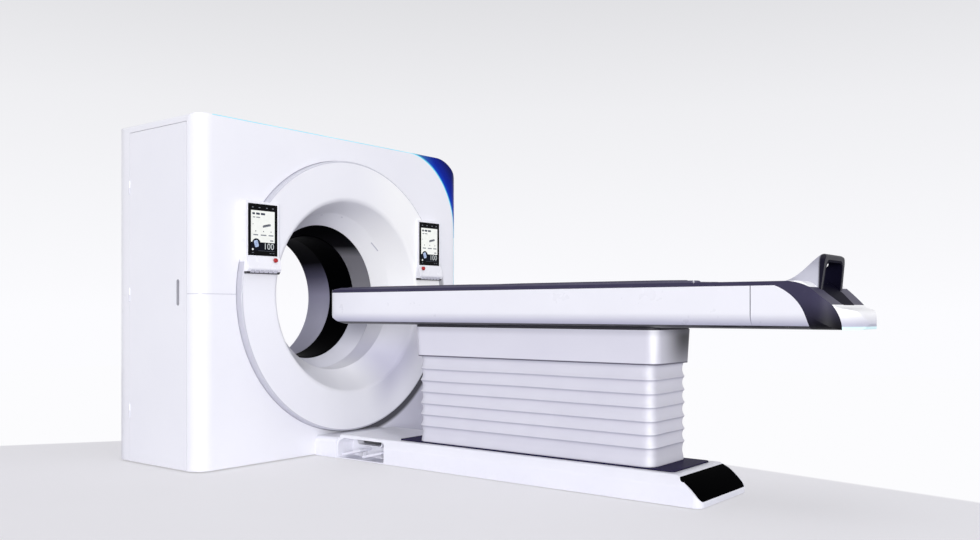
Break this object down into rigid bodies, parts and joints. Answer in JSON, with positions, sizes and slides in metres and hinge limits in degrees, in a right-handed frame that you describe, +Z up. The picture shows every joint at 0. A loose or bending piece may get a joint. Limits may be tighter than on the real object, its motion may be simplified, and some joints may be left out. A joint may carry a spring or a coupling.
{
  "type": "computed tomography scanner",
  "caption": "Hospital whole-body X-ray scanner: ring-shaped gantry with a turning rotor, side doors and two operator panels, and a patient table with a telescopic lift and a sliding cradle.",
  "frame": {"origin": "on the floor under the centre of the bore in the scan plane, at the middle of the gantry's anchor holes", "axes": "+Z up, +X to the right of someone who faces the gantry, +Y into the gantry and away from the table"},
  "size_m": [2.201, 4.052, 1.95],
  "materials": {
    "cover_white": "smooth satin paint",
    "accent_blue": "deep gloss",
    "light_cyan": "translucent light guide",
    "seal_dark": "matt",
    "liner_grey": "fine satin",
    "window_black": "gloss film",
    "grille_grey": "moulded",
    "hinge_steel": "satin",
    "console_white": "satin",
    "screen_face": "clear gloss over a display",
    "key_grey": "soft touch",
    "button_red": "gloss",
    "frame_paint": "powder coat",
    "bearing_steel": "ground",
    "rotor_paint": "sprayed",
    "ring_brass": "turned",
    "brush_holder": "moulded",
    "tube_housing": "sprayed",
    "lead_shield": "sprayed",
    "unit_metal": "folded sheet",
    "belt_rubber": "ribbed",
    "motor_paint": "sprayed",
    "base_dark": "grained",
    "bellows_rubber": "coated fabric",
    "table_white": "smooth satin paint",
    "trim_dark": "satin",
    "handle_silver": "metallic paint",
    "inlay_dark": "satin",
    "cradle_shell": "laminate",
    "pad_vinyl": "coated cloth",
    "pedal_white": "moulded",
    "deck_metal": "extruded",
    "lift_steel": "drawn"
  },
  "bodies": {
    "root": {"front_cover_upper": "cover_white", "front_cover_lower": "cover_white", "corner_accent": "accent_blue", "light_strip": "light_cyan", "ring_cover": "cover_white", "laser_windows": "seal_dark", "cover_seals": "seal_dark", "bore_liner": "liner_grey", "scan_window": "window_black", "rear_funnel": "cover_white", "top_cover": "cover_white", "rear_cover_upper": "cover_white", "rear_cover_lower": "cover_white", "vent_grilles": "grille_grey", "door_hinges": "hinge_steel", "console_housings": "console_white", "console_screens": "screen_face", "console_keys": "key_grey", "gantry_base_frame": "frame_paint", "gantry_stand": "frame_paint", "bearing_outer_race": "bearing_steel", "brush_block": "brush_holder", "drive_belt": "belt_rubber", "drive_motor": "motor_paint", "table_base_cover": "table_white", "base_dark_panels": "base_dark", "table_base_plate": "frame_paint", "bellows": "bellows_rubber", "lift_drive": "motor_paint"},
    "rotor": {"rotor_drum": "rotor_paint", "bearing_inner_race": "bearing_steel", "slip_ring": "ring_brass", "xray_tube": "tube_housing", "collimator": "lead_shield", "detector_arc": "unit_metal", "hv_generator": "unit_metal", "cooling_unit": "unit_metal"},
    "motor_shaft": {"motor_pulley": "bearing_steel"},
    "door_left": {"side_door_left": "cover_white", "door_grip_left": "grille_grey"},
    "door_right": {"side_door_right": "cover_white", "door_grip_right": "grille_grey"},
    "stop_left": {"emergency_button_left": "button_red"},
    "stop_right": {"emergency_button_right": "button_red"},
    "pedal_up_left": {"pedal_up_left": "pedal_white"},
    "pedal_down_left": {"pedal_down_left": "pedal_white"},
    "pedal_up_right": {"pedal_up_right": "pedal_white"},
    "pedal_down_right": {"pedal_down_right": "pedal_white"},
    "lift_middle": {"lift_column_middle": "lift_steel"},
    "table": {"lift_column_inner": "lift_steel", "column_cover": "table_white", "table_frame": "table_white", "table_deck": "deck_metal", "tail_cover": "table_white", "dark_trim": "trim_dark", "tail_nose": "table_white", "tail_handle": "handle_silver", "tail_inlay": "inlay_dark"},
    "cradle": {"cradle": "cradle_shell", "cradle_pad": "pad_vinyl"}
  },
  "joints": [
    {"name": "rotor_spin", "type": "hinge", "parent": "root", "child": "rotor", "pos_m": [0, 0, 0.97], "axis": [0, 1, 0], "continuous": true},
    {"name": "motor_spin", "type": "hinge", "parent": "root", "child": "motor_shaft", "pos_m": [0.76, 0, 0.255], "axis": [0, 1, 0], "continuous": true},
    {"name": "door_left_swing", "type": "hinge", "parent": "root", "child": "door_left", "pos_m": [-1.095, 0.1892, 0.97], "axis": [0, 0, -1], "range_deg": [0, 100]},
    {"name": "door_right_swing", "type": "hinge", "parent": "root", "child": "door_right", "pos_m": [1.095, 0.1892, 0.97], "axis": [0, 0, 1], "range_deg": [0, 100]},
    {"name": "table_lift", "type": "slide", "parent": "root", "child": "table", "axis": [0, 0, 1], "range_m": [-0.33, 0], "deforming": ["bellows"]},
    {"name": "lift_middle_slide", "type": "slide", "parent": "root", "child": "lift_middle", "axis": [0, 0, 1], "range_m": [-0.165, 0]},
    {"name": "cradle_slide", "type": "slide", "parent": "table", "child": "cradle", "axis": [0, 1, 0], "range_m": [0, 1.6]},
    {"name": "stop_left_press", "type": "slide", "parent": "root", "child": "stop_left", "axis": [0, 1, 0], "range_m": [0, 0.004], "stiffness_N_per_m": 800, "springref_m": -0.002},
    {"name": "stop_right_press", "type": "slide", "parent": "root", "child": "stop_right", "axis": [0, 1, 0], "range_m": [0, 0.004], "stiffness_N_per_m": 800, "springref_m": -0.002},
    {"name": "pedal_up_left_press", "type": "hinge", "parent": "root", "child": "pedal_up_left", "pos_m": [-0.15, -0.771, 0.045], "axis": [0, -1, 0], "range_deg": [0, 5], "stiffness_Nm_per_rad": 20, "springref_deg": -5.73},
    {"name": "pedal_down_left_press", "type": "hinge", "parent": "root", "child": "pedal_down_left", "pos_m": [-0.15, -0.941, 0.045], "axis": [0, -1, 0], "range_deg": [0, 5], "stiffness_Nm_per_rad": 20, "springref_deg": -5.73},
    {"name": "pedal_up_right_press", "type": "hinge", "parent": "root", "child": "pedal_up_right", "pos_m": [0.15, -0.771, 0.045], "axis": [0, 1, 0], "range_deg": [0, 5], "stiffness_Nm_per_rad": 20, "springref_deg": -5.73},
    {"name": "pedal_down_right_press", "type": "hinge", "parent": "root", "child": "pedal_down_right", "pos_m": [0.15, -0.941, 0.045], "axis": [0, 1, 0], "range_deg": [0, 5], "stiffness_Nm_per_rad": 20, "springref_deg": -5.73}
  ],
  "couplings": [
    {"joint": "motor_spin", "follows": "rotor_spin", "ratio": 8.2222},
    {"joint": "lift_middle_slide", "follows": "table_lift", "ratio": 0.5}
  ]
}
